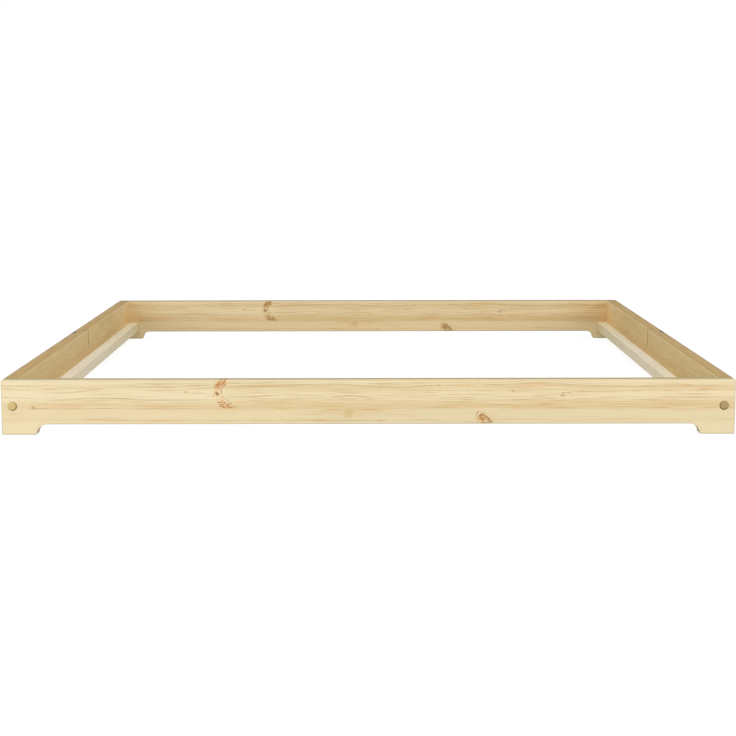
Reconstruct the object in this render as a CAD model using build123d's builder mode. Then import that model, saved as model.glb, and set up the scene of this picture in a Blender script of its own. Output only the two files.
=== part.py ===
from build123d import *
from math import asin, degrees, radians, tan
import os

os.makedirs("parts", exist_ok=True)

# Low bed frame in solid pine. X runs along the end boards, Y from the front board to the rear board, Z up.
# The origin lies on the floor, under the middle of the frame. All sizes are in millimetres.

# The mattress that the frame takes, and the room left on each side of it
mattress_width = 1800.0
mattress_length = 2000.0
mattress_clearance = 5.0

# End boards: a plank on edge with a foot at each end and an eased edge all round
board_thickness = 40.0
board_height = 142.0
foot_height = 27.0
foot_length = 90.0
foot_tip_radius = 4.5
board_corner_radius = 3.5
board_edge_radius = 3.0

# Side rails: planks between the end boards, flush with their tops and ends
rail_thickness = 40.0
rail_edge_radius = 3.0

# Slat battens: the ledges along the inner faces of the side rails, which slats lie on
batten_width = 37.0
batten_height = 30.0
batten_below_top = 80.0
batten_edge_radius = 1.5
batten_end_clearance = 0.3

# Corner bolt: its head lies in a counterbore in the end board, its thread in a barrel nut in the side rail
bolt_diameter = 8.0
bolt_length = 75.0
bolt_point_chamfer = 1.0
bolt_hole_clearance = 0.5
bolt_end_room = 2.0
bolt_head_diameter = 13.0
bolt_head_height = 8.0
bolt_head_chamfer = 0.8
bolt_socket_width = 6.0
bolt_socket_depth = 4.0
bolt_from_board_end = 29.0
bolt_below_top = 67.5
thread_clearance = 0.05

# Washer under the bolt head
washer_diameter = 20.0
washer_thickness = 1.6
washer_hole_clearance = 0.2
washer_edge_radius = 0.4

# Barrel nut: a steel cross dowel that is let into the inner face of the side rail
nut_diameter = 12.0
nut_length = 18.0
nut_edge_chamfer = 0.8
nut_from_rail_end = 43.0
nut_bore_clearance = 0.1
nut_slot_width = 1.6
nut_slot_depth = 2.0

# Cover plug: a wooden disc that closes the counterbore over each bolt head
plug_diameter = 23.0
plug_length = 10.0
plug_clearance = 0.1
plug_stand = 1.2
plug_dome = 0.5
plug_rim_radius = 0.9
counterbore_depth = 20.0
counterbore_mouth_chamfer = 0.6

# Corner dowels: two beech pins in each corner, which stop the rail from turning about its bolt
dowel_diameter = 10.0
dowel_length = 40.0
dowel_chamfer = 1.2
dowel_clearance = 0.05
dowel_end_room = 1.0
upper_dowel_below_top = 26.0
lower_dowel_above_rail = 20.0

# Batten screws: countersunk wood screws through each batten into its side rail
screw_count = 7
screw_diameter = 5.0
screw_length = 60.0
screw_point_length = 6.0
screw_head_diameter = 9.6
screw_head_rim = 0.5
screw_head_angle = 90.0
screw_head_sink = 0.3
screw_recess_width = 1.1
screw_recess_reach = 4.6
screw_recess_depth = 2.2
screw_hole_clearance = 0.05
screw_end_room = 1.0
screw_from_batten_end = 100.0

# Sizes and places that follow from those above
inner_width = mattress_width + 2 * mattress_clearance
inner_length = mattress_length + 2 * mattress_clearance
frame_width = inner_width + 2 * rail_thickness
frame_length = inner_length + 2 * board_thickness
foot_end_x = frame_width / 2 - foot_length
rail_height = board_height - foot_height
rail_centre_x = (inner_width + rail_thickness) / 2
rail_centre_z = foot_height + rail_height / 2
batten_length = inner_length - 2 * batten_end_clearance
batten_centre_x = (inner_width - batten_width) / 2
batten_centre_z = board_height - batten_below_top - batten_height / 2
batten_face_x = inner_width / 2 - batten_width
bolt_x = frame_width / 2 - bolt_from_board_end
bolt_z = board_height - bolt_below_top
bolt_seat_y = frame_length / 2 - counterbore_depth
bolt_head_y = bolt_seat_y + washer_thickness
bolt_reach_in_rail = inner_length / 2 - (bolt_head_y - bolt_length)
bolt_hole_radius = bolt_diameter / 2 + bolt_hole_clearance
nut_y = inner_length / 2 - nut_from_rail_end
nut_bore_depth = bolt_x - inner_width / 2 + nut_length / 2
nut_bore_radius = nut_diameter / 2 + nut_bore_clearance
plug_radius = plug_diameter / 2
plug_dome_radius = (plug_radius**2 + plug_dome**2) / (2 * plug_dome)
counterbore_radius = plug_radius + plug_clearance
dowel_hole_radius = dowel_diameter / 2 + dowel_clearance
dowel_hole_depth = dowel_length / 2 + dowel_end_room
dowel_heights = (board_height - upper_dowel_below_top, foot_height + lower_dowel_above_rail)
screw_head_radius = screw_head_diameter / 2
screw_shank_radius = screw_diameter / 2
screw_head_cone = (screw_head_radius - screw_shank_radius) / tan(radians(screw_head_angle / 2))
screw_head_x = batten_face_x + screw_head_sink
screw_hole_depth = screw_length + screw_end_room
screw_spacing = (batten_length - 2 * screw_from_batten_end) / (screw_count - 1)
screw_ys = [screw_spacing * (i - (screw_count - 1) / 2) for i in range(screw_count)]

# The two sides and the two ends of the bed, each with its sign along X or Y
sides = (("left", -1), ("right", 1))
ends = (("front", -1), ("rear", 1))


def across_y(y, facing):
    """A plane across the length of the bed whose own x and y are level and up."""
    return Plane(origin=(0, y, 0), x_dir=(-facing, 0, 0), z_dir=(0, facing, 0))


def across_x(x, facing):
    """A plane across the width of the bed whose own x and y are level and up."""
    return Plane(origin=(x, 0, 0), x_dir=(0, facing, 0), z_dir=(facing, 0, 0))


def on_bolt(end, side, y):
    """A plane across the bolt of one corner, facing out of the bed, at a distance from its middle."""
    return Plane(origin=(side * bolt_x, end * y, bolt_z), x_dir=(0, 0, 1), z_dir=(0, end, 0))


def on_nut(end, side):
    """A plane across the barrel nut of one corner, through its middle and facing into the bed."""
    return Plane(origin=(side * bolt_x, end * nut_y, bolt_z), x_dir=(0, 0, 1), z_dir=(-side, 0, 0))


# End boards
for end_name, end in ends:
    outer_face = across_y(end * frame_length / 2, end)
    inner_face = across_y(end * inner_length / 2, -end)
    dowel_places = [(x, z) for x in (-rail_centre_x, rail_centre_x) for z in dowel_heights]

    with BuildPart() as board:
        with BuildSketch(outer_face) as outline:
            with Locations((0, board_height / 2)):
                Rectangle(frame_width, board_height)
            # The gap between the feet, whose upper corners are quarter circles as high as the feet
            with BuildLine():
                Polyline(
                    (foot_height - foot_end_x, foot_height),
                    (foot_end_x - foot_height, foot_height),
                )
                CenterArc((foot_end_x - foot_height, 0), foot_height, 0, 90)
                Polyline((foot_end_x, 0), (-foot_end_x, 0))
                CenterArc((foot_height - foot_end_x, 0), foot_height, 90, 90)
            make_face(mode=Mode.SUBTRACT)
            foot_tips = outline.vertices().group_by(Axis.Y)[0].sort_by(Axis.X)[1:3]
            fillet(foot_tips, radius=foot_tip_radius)
            left_corners = outline.vertices().group_by(Axis.X)[0]
            right_corners = outline.vertices().group_by(Axis.X)[-1]
            fillet(left_corners + right_corners, radius=board_corner_radius)
        extrude(amount=-board_thickness)
        front_and_back = board.edges().group_by(Axis.Y)[0] + board.edges().group_by(Axis.Y)[-1]
        fillet(front_and_back, radius=board_edge_radius)

        # Counterbored bolt holes from outside, with a lightly broken edge at the mouth
        with Locations(outer_face):
            with Locations((-bolt_x, bolt_z), (bolt_x, bolt_z)):
                CounterBoreHole(
                    radius=bolt_hole_radius,
                    counter_bore_radius=counterbore_radius,
                    counter_bore_depth=counterbore_depth,
                )
        circles = board.edges().filter_by(GeomType.CIRCLE)
        mouths = [c for c in circles if abs(c.radius - counterbore_radius) < plug_clearance]
        mouths = ShapeList(mouths).sort_by(lambda c: end * c.center().Y)[-2:]
        chamfer(mouths, length=counterbore_mouth_chamfer)

        # Blind dowel holes from inside
        with Locations(inner_face):
            with Locations(*dowel_places):
                Hole(radius=dowel_hole_radius, depth=dowel_hole_depth)

    board.part.label = f"{end_name}_end_board"
    export_step(board.part, f"parts/{end_name}_end_board.step")

# Side rails
for side_name, side in sides:
    rail_face = across_x(side * inner_width / 2, -side)

    with BuildPart() as rail:
        with BuildSketch(Plane.XZ):
            with Locations((side * rail_centre_x, rail_centre_z)):
                Rectangle(rail_thickness, rail_height)
        extrude(amount=inner_length / 2, both=True)
        fillet(rail.edges().filter_by(Axis.Y), radius=rail_edge_radius)

        # Each end takes the bolt and two dowels
        for end_name, end in ends:
            with Locations(across_y(end * inner_length / 2, end)):
                with Locations((-end * side * bolt_x, bolt_z)):
                    Hole(radius=bolt_hole_radius, depth=bolt_reach_in_rail + bolt_end_room)
                with Locations(*[(-end * side * rail_centre_x, z) for z in dowel_heights]):
                    Hole(radius=dowel_hole_radius, depth=dowel_hole_depth)

        # The inner face takes the barrel nuts and the points of the batten screws
        with Locations(rail_face):
            with Locations((-nut_y, bolt_z), (nut_y, bolt_z)):
                Hole(radius=nut_bore_radius, depth=nut_bore_depth)
            with Locations(*[(y, batten_centre_z) for y in screw_ys]):
                Hole(
                    radius=screw_shank_radius + screw_hole_clearance,
                    depth=screw_hole_depth - batten_width + screw_head_sink,
                )

    rail.part.label = f"{side_name}_side_rail"
    export_step(rail.part, f"parts/{side_name}_side_rail.step")

# Slat battens
for side_name, side in sides:
    with BuildPart() as batten:
        with BuildSketch(Plane.XZ):
            with Locations((side * batten_centre_x, batten_centre_z)):
                Rectangle(batten_width, batten_height)
        extrude(amount=batten_length / 2, both=True)
        fillet(batten.edges().filter_by(Axis.Y), radius=batten_edge_radius)
        with Locations(across_x(side * (screw_head_x + screw_head_rim), -side)):
            with Locations(*[(y, batten_centre_z) for y in screw_ys]):
                CounterSinkHole(
                    radius=screw_shank_radius + screw_hole_clearance,
                    counter_sink_radius=screw_head_radius + screw_hole_clearance,
                    counter_sink_angle=screw_head_angle,
                )

    batten.part.label = f"{side_name}_slat_batten"
    export_step(batten.part, f"parts/{side_name}_slat_batten.step")

# One corner bolt, upright, with the underside of its head at the origin
with BuildPart() as bolt:
    Cylinder(bolt_diameter / 2, bolt_length, align=(Align.CENTER, Align.CENTER, Align.MAX))
    chamfer(bolt.edges().sort_by(Axis.Z)[0], length=bolt_point_chamfer)
    Cylinder(bolt_head_diameter / 2, bolt_head_height, align=(Align.CENTER, Align.CENTER, Align.MIN))
    chamfer(bolt.edges().sort_by(Axis.Z)[-1], length=bolt_head_chamfer)
    with BuildSketch(Plane.XY.offset(bolt_head_height)):
        RegularPolygon(radius=bolt_socket_width / 2, side_count=6, major_radius=False)
    extrude(amount=-bolt_socket_depth, mode=Mode.SUBTRACT)

# One washer, lying flat with its lower face at the origin
with BuildPart() as washer:
    with BuildSketch():
        Circle(washer_diameter / 2)
        Circle(bolt_diameter / 2 + washer_hole_clearance, mode=Mode.SUBTRACT)
    extrude(amount=washer_thickness)
    rims = washer.edges().filter_by(GeomType.CIRCLE).group_by(SortBy.RADIUS)[-1]
    fillet(rims, radius=washer_edge_radius)

# One barrel nut, upright about its middle, with its thread along its own y and a slot in its upper end
with BuildPart() as nut:
    Cylinder(nut_diameter / 2, nut_length)
    chamfer(nut.edges().filter_by(GeomType.CIRCLE), length=nut_edge_chamfer)
    with Locations(Plane.XZ.offset(nut_diameter / 2)):
        Hole(radius=bolt_diameter / 2 + thread_clearance, depth=nut_diameter)
    with BuildSketch(Plane.XY.offset(nut_length / 2)):
        Rectangle(nut_slot_width, nut_diameter)
    extrude(amount=-nut_slot_depth, mode=Mode.SUBTRACT)

# One cover plug, upright, with the outer face of the end board at the origin and a slightly domed top
with BuildPart() as plug:
    with BuildSketch(Plane.XZ) as half_section:
        with BuildLine():
            dome = JernArc(
                start=(0, plug_stand),
                tangent=(1, 0),
                radius=plug_dome_radius,
                arc_size=-degrees(asin(plug_radius / plug_dome_radius)),
            )
            Polyline(
                dome @ 1,
                (plug_radius, plug_stand - plug_length),
                (0, plug_stand - plug_length),
                (0, plug_stand),
            )
        make_face()
        rim = half_section.vertices().group_by(Axis.X)[-1].sort_by(Axis.Y)[-1]
        fillet(rim, radius=plug_rim_radius)
    revolve(axis=Axis.Z)

# One dowel, upright about its middle
with BuildPart() as dowel:
    Cylinder(dowel_diameter / 2, dowel_length)
    chamfer(dowel.edges().filter_by(GeomType.CIRCLE), length=dowel_chamfer)

# One batten screw, upright, with the top of its head at the origin and a cross recess in it
with BuildPart() as screw:
    with BuildSketch(Plane.XZ):
        with BuildLine():
            Polyline(
                (0, 0),
                (screw_head_radius, 0),
                (screw_head_radius, -screw_head_rim),
                (screw_shank_radius, -screw_head_rim - screw_head_cone),
                (screw_shank_radius, screw_point_length - screw_length),
                (0, -screw_length),
                (0, 0),
            )
        make_face()
    revolve(axis=Axis.Z)
    with BuildSketch():
        Rectangle(screw_recess_reach, screw_recess_width)
        Rectangle(screw_recess_width, screw_recess_reach)
    extrude(amount=-screw_recess_depth, mode=Mode.SUBTRACT)

# The joint in each corner: a plug over a bolt, on its washer, drawn up to a barrel nut, with two dowels
for end_name, end in ends:
    for side_name, side in sides:
        corner_name = f"{end_name}_{side_name}"

        with BuildPart() as corner_plug:
            with Locations(on_bolt(end, side, frame_length / 2)):
                add(plug.part)
        corner_plug.part.label = f"{corner_name}_cover_plug"
        export_step(corner_plug.part, f"parts/{corner_name}_cover_plug.step")

        with BuildPart() as corner_bolt:
            with Locations(on_bolt(end, side, bolt_head_y)):
                add(bolt.part)
        corner_bolt.part.label = f"{corner_name}_corner_bolt"
        export_step(corner_bolt.part, f"parts/{corner_name}_corner_bolt.step")

        with BuildPart() as corner_washer:
            with Locations(on_bolt(end, side, bolt_seat_y)):
                add(washer.part)
        corner_washer.part.label = f"{corner_name}_washer"
        export_step(corner_washer.part, f"parts/{corner_name}_washer.step")

        with BuildPart() as corner_nut:
            with Locations(on_nut(end, side)):
                add(nut.part)
        corner_nut.part.label = f"{corner_name}_barrel_nut"
        export_step(corner_nut.part, f"parts/{corner_name}_barrel_nut.step")

        with BuildPart() as corner_dowels:
            with Locations(across_y(end * inner_length / 2, end)):
                with Locations(*[(-end * side * rail_centre_x, z) for z in dowel_heights]):
                    add(dowel.part)
        corner_dowels.part.label = f"{corner_name}_dowels"
        export_step(corner_dowels.part, f"parts/{corner_name}_dowels.step")

# The row of screws in each batten
for side_name, side in sides:
    with BuildPart() as batten_screws:
        with Locations(across_x(side * screw_head_x, -side)):
            with Locations(*[(y, batten_centre_z) for y in screw_ys]):
                add(screw.part)
    batten_screws.part.label = f"{side_name}_batten_screws"
    export_step(batten_screws.part, f"parts/{side_name}_batten_screws.step")
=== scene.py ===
# Low bed frame in planed pine: finish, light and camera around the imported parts.
# Metres, +Z up, +Y from the front end board towards the rear one, floor at zero.
from collections import namedtuple
from functools import partial
from math import cos, e, pi, radians, sin

import bpy
from mathutils import Euler, Matrix, Vector


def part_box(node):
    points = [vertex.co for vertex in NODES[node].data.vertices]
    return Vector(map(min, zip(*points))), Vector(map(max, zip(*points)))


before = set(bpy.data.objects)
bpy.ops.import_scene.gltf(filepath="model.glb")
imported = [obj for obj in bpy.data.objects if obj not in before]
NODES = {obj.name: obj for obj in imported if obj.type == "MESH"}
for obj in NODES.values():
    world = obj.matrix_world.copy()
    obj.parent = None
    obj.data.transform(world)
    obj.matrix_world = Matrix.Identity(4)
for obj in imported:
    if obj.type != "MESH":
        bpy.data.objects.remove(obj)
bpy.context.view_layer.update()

CORNERS = ("front_left", "front_right", "rear_left", "rear_right")

# The photograph's frame, and the camera that fits the boards' corners in it
PICTURE_PIXELS = 736
FOCAL_PIXELS = 1665.09
SENSOR_WIDTH = 36.0
CAMERA_PLACE = (-0.00234, -5.27544, 0.76450)
CAMERA_PITCH = -7.9593
CAMERA_YAW = -0.0237
CAMERA_ROLL = -0.0816

# How bright each light makes a white surface that faces it
SKY_LEVEL = 0.44
KEY_LEVEL = 0.31
KEY_PLACE = (3.2, -4.4, 1.15)
KEY_AIM = (0.0, -0.9, 0.08)
KEY_WIDTH = 2.0
TOP_LEVEL = 0.31
TOP_PLACE = (0.0, -0.2, 3.2)
TOP_AIM = (0.0, 0.0, 0.0)
TOP_WIDTH = 2.6
FLOOR_REACH = 60.0
FLOOR_BOUNCE = 0.82
FLOOR_SHADE_SHARE = 0.30

# The timbers, as the frame gives them
BOARD_LOW, BOARD_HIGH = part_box("front_end_board")
REAR_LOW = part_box("rear_end_board")[0]
RAIL_LOW, RAIL_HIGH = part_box("right_side_rail")
BATTEN_LOW, BATTEN_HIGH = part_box("right_slat_batten")
HALF_WIDTH = BOARD_HIGH.x
BOARD_HEIGHT = BOARD_HIGH.z
BOARD_THICKNESS = BOARD_HIGH.y - BOARD_LOW.y
RAIL_THICKNESS = RAIL_HIGH.x - RAIL_LOW.x
UNDERSIDE = RAIL_LOW.z
FOOT_LENGTH = 0.090
FOOT_INNER = HALF_WIDTH - FOOT_LENGTH
# The quarter-round beside each foot is as wide as the underside is high
FOOT_SWEEP = UNDERSIDE
# How far past the quarter-round its shade reaches, inwards and up
SWEEP_PAST = 0.002
SWEEP_OVER = 0.001


def linear(red, green, blue):
    """A colour as a screen shows it, 0 to 255, turned into the light that it stands for."""
    shares = [value / 255 for value in (red, green, blue)]
    light = [s / 12.92 if s <= 0.04045 else ((s + 0.055) / 1.055) ** 2.4 for s in shares]
    return (*light, 1.0)


def grey(level):
    return (level, level, level, 1.0)


def tinted(colour, stain):
    return (*[value * share for value, share in zip(colour, stain)], 1.0)


class Field:
    """A number that varies over a surface. Its sums, products and calls add nodes to its recipe."""

    def __init__(self, recipe, socket):
        self.recipe = recipe
        self.socket = socket

    def worked(self, operation, *values):
        return self.recipe.math(operation, self, *values)

    def __add__(self, other):
        return self.worked("ADD", other)

    def __sub__(self, other):
        return self.worked("SUBTRACT", other)

    def __rsub__(self, other):
        return self.recipe.math("SUBTRACT", other, self)

    def __mul__(self, other):
        return self.worked("MULTIPLY", other)

    def __truediv__(self, other):
        return self.worked("DIVIDE", other)

    __radd__ = __add__
    __rmul__ = __mul__

    def size(self):
        return self.worked("ABSOLUTE")

    def root(self):
        return self.worked("SQRT")

    def least(self, other):
        return self.worked("MINIMUM", other)

    def most(self, other):
        return self.worked("MAXIMUM", other)

    def part(self):
        """What is left over past the last whole number."""
        return self.worked("FRACT")

    def whole(self):
        return self.worked("FLOOR")

    def counted(self, middle, reach):
        """How many reaches past the middle this is. Both are in millimetres."""
        step = reach * MILLIMETRE
        return self.recipe.math("MULTIPLY_ADD", self, 1 / step, -middle * MILLIMETRE / step)

    def crisp(self):
        """The same cover with its thin foot cut away, so that it has an edge."""
        return self * self.fade(0.05, 0.32)

    def fade(self, start, end):
        """0 at start and 1 at end, smooth between and level beyond. Start may be the larger."""
        node = self.recipe.node("ShaderNodeMapRange", interpolation_type="SMOOTHSTEP")
        rising = start < end
        self.recipe.feed(node.inputs["Value"], self)
        node.inputs["From Min"].default_value = min(start, end)
        node.inputs["From Max"].default_value = max(start, end)
        node.inputs["To Min"].default_value = 0.0 if rising else 1.0
        node.inputs["To Max"].default_value = 1.0 if rising else 0.0
        return Field(self.recipe, node.outputs["Result"])


class Working:
    """A node tree and the steps that can be worked in it."""

    def __init__(self, tree):
        self.tree = tree

    def node(self, kind, **settings):
        made = self.tree.nodes.new(kind)
        for setting, value in settings.items():
            setattr(made, setting, value)
        return made

    def shader(self, kind, **constants):
        """A shader with its constants written on its own sockets."""
        made = self.node(kind)
        for name, value in constants.items():
            made.inputs[name.replace("_", " ")].default_value = value
        return made

    def feed(self, socket, value):
        """Joins a field or another socket to this socket, or writes a plain value on it."""
        value = value.socket if isinstance(value, Field) else value
        if isinstance(value, bpy.types.NodeSocket):
            self.tree.links.new(value, socket)
        else:
            socket.default_value = value

    def math(self, operation, *values):
        node = self.node("ShaderNodeMath", operation=operation)
        for socket, value in zip(node.inputs, values):
            self.feed(socket, value)
        return Field(self, node.outputs[0])

    def point(self, x, y, z):
        node = self.node("ShaderNodeCombineXYZ")
        for socket, value in zip(node.inputs, (x, y, z)):
            self.feed(socket, value)
        return node.outputs[0]

    def axes(self, place):
        node = self.node("ShaderNodeSeparateXYZ")
        self.feed(node.inputs[0], place)
        return [Field(self, output) for output in node.outputs]

    def boxed(self, place, centre=(0, 0, 0), turn=(0, 0, 0), reach=(1, 1, 1)):
        """The place counted in reaches from a box's centre, along the turned box's own axes."""
        node = self.node("ShaderNodeMapping", vector_type="TEXTURE")
        self.feed(node.inputs["Vector"], place)
        node.inputs["Location"].default_value = centre
        node.inputs["Rotation"].default_value = turn
        node.inputs["Scale"].default_value = reach
        return node.outputs[0]

    def length(self, place):
        node = self.node("ShaderNodeVectorMath", operation="LENGTH")
        self.feed(node.inputs[0], place)
        return Field(self, node.outputs["Value"])

    def bell(self, near):
        """exp(-d*d), where d is how far from the middle of its box a place is, in reaches."""
        node = self.node("ShaderNodeVectorMath", operation="DOT_PRODUCT")
        self.feed(node.inputs[0], near)
        self.feed(node.inputs[1], near)
        return (Field(self, node.outputs["Value"]) * -1.0).worked("EXPONENT")

    def hump(self, x, y):
        """exp(-d*d), with d the length of a step of these sizes along two axes."""
        return self.math("POWER", 1 / e, self.math("MULTIPLY_ADD", y, y, x * x))

    def in_turn(self, earlier, *values):
        """The same values, worked out only after the earlier one. A long sum whose terms are all
        begun at once takes more room than a shader has."""
        if not isinstance(earlier, Field):
            return values
        return [self.math("MULTIPLY_ADD", earlier, 1e-9, value) for value in values]

    def across(self, place, middle, way, reach):
        """How many reaches a place on a face lies past the middle, along the way. The middle and
        the reach are in millimetres."""
        step = reach * MILLIMETRE
        start = -(middle[0] * way[0] + middle[1] * way[1]) / reach
        risen = self.math("MULTIPLY_ADD", place[1], way[1] / step, start)
        return self.math("MULTIPLY_ADD", place[0], way[0] / step, risen)

    def noise(self, place, reach, detail=2.0, shift=0.0):
        """Smooth noise about 0.5, in blotches as long as reach on each axis."""
        node = self.node("ShaderNodeTexNoise", noise_dimensions="4D")
        self.feed(node.inputs["Vector"], self.boxed(place, reach=reach))
        node.inputs["W"].default_value = shift
        node.inputs["Scale"].default_value = 1.0
        node.inputs["Detail"].default_value = detail
        return Field(self, node.outputs[0])

    def noise_along(self, value, shift=0.0):
        """Smooth noise about 0.5 along one value."""
        node = self.node("ShaderNodeTexNoise", noise_dimensions="1D")
        self.feed(node.inputs["W"], value + shift)
        node.inputs["Scale"].default_value = 1.0
        node.inputs["Detail"].default_value = 2.0
        return Field(self, node.outputs[0])

    def chance(self, value):
        """A number from 0 to 1 that jumps with each new value."""
        node = self.node("ShaderNodeTexWhiteNoise", noise_dimensions="1D")
        self.feed(node.inputs["W"], value)
        return Field(self, node.outputs["Value"])

    def mix(self, share, first, second):
        node = self.node("ShaderNodeMix", data_type="RGBA", clamp_factor=True)
        self.feed(node.inputs["Factor"], share)
        first_colour, second_colour = [s for s in node.inputs if s.type == "RGBA"]
        self.feed(first_colour, first)
        self.feed(second_colour, second)
        return [s for s in node.outputs if s.type == "RGBA"][0]

    def tint(self, colour, stain):
        """The colour with the given share of its red, green and blue kept, for stains and for painted
        shade and light.
        """
        node = self.node("ShaderNodeVectorMath", operation="MULTIPLY")
        self.feed(node.inputs[0], colour)
        node.inputs[1].default_value = stain
        return node.outputs[0]

    def shade(self, colour, level):
        """The colour times a level that varies."""
        node = self.node("ShaderNodeVectorMath", operation="SCALE")
        self.feed(node.inputs[0], colour)
        self.feed(node.inputs["Scale"], level)
        return node.outputs[0]

    def looked_at(self):
        """1 for what the camera sees, directly or in a gloss, and 0 for light that bounces on."""
        path = self.node("ShaderNodeLightPath").outputs
        return self.math("MAXIMUM", path["Is Camera Ray"], path["Is Glossy Ray"])

    def read_off(self, value, stops):
        """A level read off a smooth curve through stops, each a place and the level there."""
        low, high = stops[0][0], stops[-1][0]
        node = self.node("ShaderNodeValToRGB")
        node.color_ramp.interpolation = "B_SPLINE"
        marks = node.color_ramp.elements
        for mark, (place, level) in zip(marks, (stops[0], stops[-1])):
            mark.color = grey(level)
        for place, level in stops[1:-1]:
            marks.new((place - low) / (high - low)).color = grey(level)
        self.feed(node.inputs[0], (value - low) / (high - low))
        return Field(self, node.outputs["Color"])

    def shared(self, name, along, up, work):
        """What the work gives for a place on a face. It is a node group, made once by its name."""
        group = bpy.data.node_groups.get(name)
        if group is None:
            group = bpy.data.node_groups.new(name, "ShaderNodeTree")
            for socket, way in (("Along", "INPUT"), ("Up", "INPUT"), ("Cover", "OUTPUT")):
                group.interface.new_socket(socket, in_out=way, socket_type="NodeSocketFloat")
            inner = Working(group)
            given = inner.node("NodeGroupInput").outputs
            cover = work(Field(inner, given["Along"]), Field(inner, given["Up"]))
            inner.feed(inner.node("NodeGroupOutput").inputs["Cover"], cover)
        node = self.node("ShaderNodeGroup", node_tree=group)
        self.feed(node.inputs["Along"], along)
        self.feed(node.inputs["Up"], up)
        return Field(self, node.outputs["Cover"])


class Recipe(Working):
    """One material and the nodes that it is mixed from."""

    def __init__(self, name):
        self.material = bpy.data.materials.new(name)
        self.material.use_nodes = True
        super().__init__(self.material.node_tree)
        self.tree.nodes.clear()
        self.place = self.node("ShaderNodeTexCoord").outputs["Object"]

    def finish(self, colour, roughness, height, **constants):
        """The finished material. Height is in metres."""
        shader = self.shader("ShaderNodeBsdfPrincipled", **constants)
        output = self.node("ShaderNodeOutputMaterial")
        bump = self.node("ShaderNodeBump")
        bump.inputs["Distance"].default_value = 1.0
        self.feed(bump.inputs["Height"], height)
        self.feed(shader.inputs["Base Color"], colour)
        self.feed(shader.inputs["Roughness"], roughness)
        self.feed(shader.inputs["Normal"], bump.outputs[0])
        self.feed(output.inputs["Surface"], shader.outputs[0])
        return self.material


MILLIMETRE = 0.001
KNOT_RED = linear(204, 146, 88)
KNOT_PEACH = linear(240, 198, 148)
KNOT_BROWN = linear(116, 74, 42)
FLECK_BROWN = linear(158, 106, 50)
FLECK_OLIVE = linear(172, 142, 76)
SPECK_BROWN = linear(146, 114, 62)
EYE_BROWN = linear(156, 126, 70)
STROKE_BROWN = linear(177, 140, 80)
FLUSH_ORANGE = linear(222, 172, 108)
RESIN_YELLOW = linear(214, 184, 116)
# The rear board's resin, darker with painted shade
REAR_SHADED_RESIN = linear(202, 166, 112)

# A stock of pine: the pale and dark wood of one year, the warm tone of its darker bands, the
# width of a year's ring, where the pith lies beside the face (up, depth), how strongly the
# years show, how pale the rounded edges are from wear and painted highlight, and a seed
Stock = namedtuple("Stock", "early late warm ring pith lines wear seed")
# A place where the grain lifts: along and up are where, long and high how far it reaches
Bend = namedtuple("Bend", "along up long high lift")
# A place where the grain parts round something, pushed aside by the given share of its reach
Part = namedtuple("Part", "along up long high push")
# A knot, its half sizes, its lean, and how dark its heart is
Knot = namedtuple("Knot", "along up long high lean dark")
# A thin line of grain: its middle and half sizes in millimetres, how clear it is, and its lean
Stroke = namedtuple("Stroke", "along up long high share lean", defaults=(0.0,))
# A short mark: its middle past its layer's, its half sizes in millimetres, how clear it is, and
# its turn in degrees
Fleck = namedtuple("Fleck", "along up long high share turn", defaults=(0.0,))
# Flecks of one colour about a middle in millimetres, none of them lower than the foot
Layer = namedtuple("Layer", "name along up foot colour flecks")


def stroke_rows(*rows):
    return [Stroke(*row) for row in rows]


def fleck_rows(*rows):
    return [Fleck(*row) for row in rows]


BOARD_STOCK = Stock(
    early=linear(241, 225, 186),
    late=linear(188, 152, 94),
    warm=linear(223, 196, 146),
    ring=0.0088,
    pith=(0.212, 0.055),
    lines=0.15,
    wear=0.40,
    seed=3.0,
)
# The rear board's pine: the front board's, darker and warmer with painted shade
REAR_SHADED_STOCK = BOARD_STOCK._replace(
    early=linear(238, 217, 173),
    warm=linear(215, 184, 130),
)
# The rails' own pine, made warmer and more saturated than the boards' with painted warm light bounced
# between the timbers
RAIL_STOCK = Stock(
    early=linear(223, 196, 138),
    late=linear(172, 137, 80),
    warm=linear(203, 168, 108),
    ring=0.0094,
    pith=(-0.090, 0.060),
    lines=0.24,
    wear=0.08,
    seed=11.0,
)
BATTEN_STOCK = Stock(
    early=linear(255, 250, 232),
    late=linear(222, 200, 162),
    warm=linear(251, 238, 210),
    ring=0.0070,
    pith=(-0.040, 0.070),
    lines=0.19,
    wear=0.40,
    seed=23.0,
)

BOARD_BENDS = [
    Bend(-0.680, 0.0940, 0.120, 0.016, 0.0085),
    Bend(-0.047, 0.1010, 0.050, 0.009, 0.0060),
    Bend(-0.003, 0.1260, 0.130, 0.012, -0.0070),
    Bend(0.455, 0.1350, 0.090, 0.012, 0.0065),
    Bend(0.640, 0.1180, 0.110, 0.010, -0.0030),
]
BOARD_PARTS = [
    Part(-0.795, 0.1140, 0.120, 0.0120, 0.60),
    Part(-0.392, 0.1080, 0.100, 0.0150, 0.85),
    Part(0.301, 0.0390, 0.060, 0.0200, 0.70),
    Part(0.502, 0.1028, 0.060, 0.0080, 0.80),
]
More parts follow.
